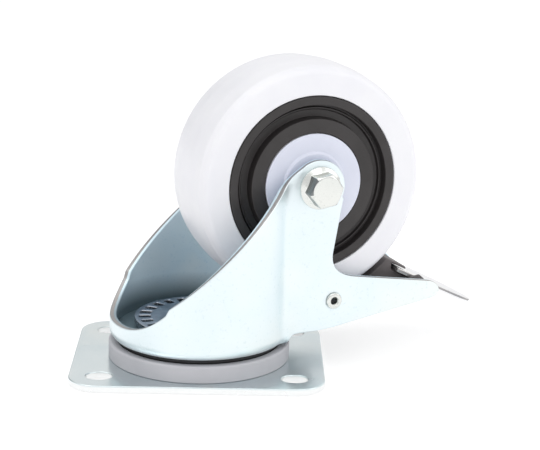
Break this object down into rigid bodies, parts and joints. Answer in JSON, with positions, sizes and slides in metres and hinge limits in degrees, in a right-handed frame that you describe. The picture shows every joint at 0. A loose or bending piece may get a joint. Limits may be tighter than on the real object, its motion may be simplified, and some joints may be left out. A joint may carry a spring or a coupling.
{
  "type": "swivel plate castor with total-lock brake",
  "caption": "Swivel plate castor for a gate or trolley: pressed fork, white plastic wheel on ball bearings, foot brake that locks wheel and swivel.",
  "frame": {"origin": "where the swivel axis meets the plate's mounting face", "axes": "+Z from the mounting face towards the wheel, +X along the plate's long side, +Y along its short side; the fork stands turned 21.1 degrees about +Z from +X"},
  "size_m": [0.1719, 0.1023, 0.1284],
  "materials": {
    "plate_zinc": "blue-passivated zinc plate on pressed steel, satin",
    "fork_zinc": "bright blue-passivated zinc plate on pressed steel, satin",
    "bolt_zinc": "bright zinc plate, slightly brushed",
    "bright_steel": "ground bearing steel",
    "dark_steel": "dark oiled steel",
    "lever_steel": "bright zinc-plated lever sheet",
    "white_plastic": "moulded white polyamide, soft gloss",
    "lilac_plastic": "moulded off-white polyamide, satin",
    "grey_plastic": "light grey moulded plastic, satin",
    "black_plastic": "black moulded plastic, satin",
    "shoe_plastic": "black moulded plastic, matt"
  },
  "bodies": {
    "plate": {"top_plate": "plate_zinc", "king_pin": "bright_steel", "dust_seal_ring": "grey_plastic", "dust_seal_lip": "black_plastic", "swivel_lock_disc": "dark_steel"},
    "swivel_balls": {"lower_ball_cage": "bright_steel", "upper_ball_cage": "bright_steel"},
    "fork": {"fork": "fork_zinc", "axle_bolt": "bolt_zinc", "lock_nut": "bolt_zinc", "nut_washer": "bolt_zinc", "axle_sleeve": "bright_steel", "bearing_inner_near": "bright_steel", "bearing_inner_far": "bright_steel", "brake_rivet_near": "bolt_zinc", "brake_rivet_far": "bolt_zinc", "detent_spring": "dark_steel", "spring_rivet": "bolt_zinc"},
    "wheel": {"wheel_body": "white_plastic", "thread_guard_near": "black_plastic", "thread_guard_far": "black_plastic", "hub_cap_near": "lilac_plastic", "hub_cap_far": "lilac_plastic", "bearing_outer_near": "bright_steel", "bearing_outer_far": "bright_steel"},
    "bearing_balls": {"bearing_cage_near": "bright_steel", "bearing_cage_far": "bright_steel"},
    "brake": {"brake_lever": "lever_steel", "brake_shoe": "shoe_plastic", "lock_pawl": "dark_steel", "pawl_rivet_left": "bolt_zinc", "pawl_rivet_right": "bolt_zinc"}
  },
  "joints": [
    {"name": "fork_swivel", "type": "hinge", "parent": "plate", "child": "fork", "pos_m": [0, 0, 0.0123], "axis": [0, 0, 1], "continuous": true},
    {"name": "thrust_ball_roll", "type": "hinge", "parent": "plate", "child": "swivel_balls", "pos_m": [0, 0, 0.0099], "axis": [0, 0, 1], "continuous": true},
    {"name": "wheel_spin", "type": "hinge", "parent": "fork", "child": "wheel", "pos_m": [0.03956, 0.01526, 0.0784], "axis": [-0.36, 0.933, 0], "continuous": true},
    {"name": "bearing_ball_roll", "type": "hinge", "parent": "fork", "child": "bearing_balls", "pos_m": [0.03956, 0.01526, 0.0784], "axis": [-0.36, 0.933, 0], "continuous": true},
    {"name": "brake_press", "type": "hinge", "parent": "fork", "child": "brake", "pos_m": [0.04693, 0.01811, 0.0293], "axis": [0.36, -0.933, 0], "range_deg": [0, 5]}
  ],
  "couplings": [
    {"joint": "thrust_ball_roll", "follows": "fork_swivel", "ratio": 0.5},
    {"joint": "bearing_ball_roll", "follows": "wheel_spin", "ratio": 0.6136}
  ]
}
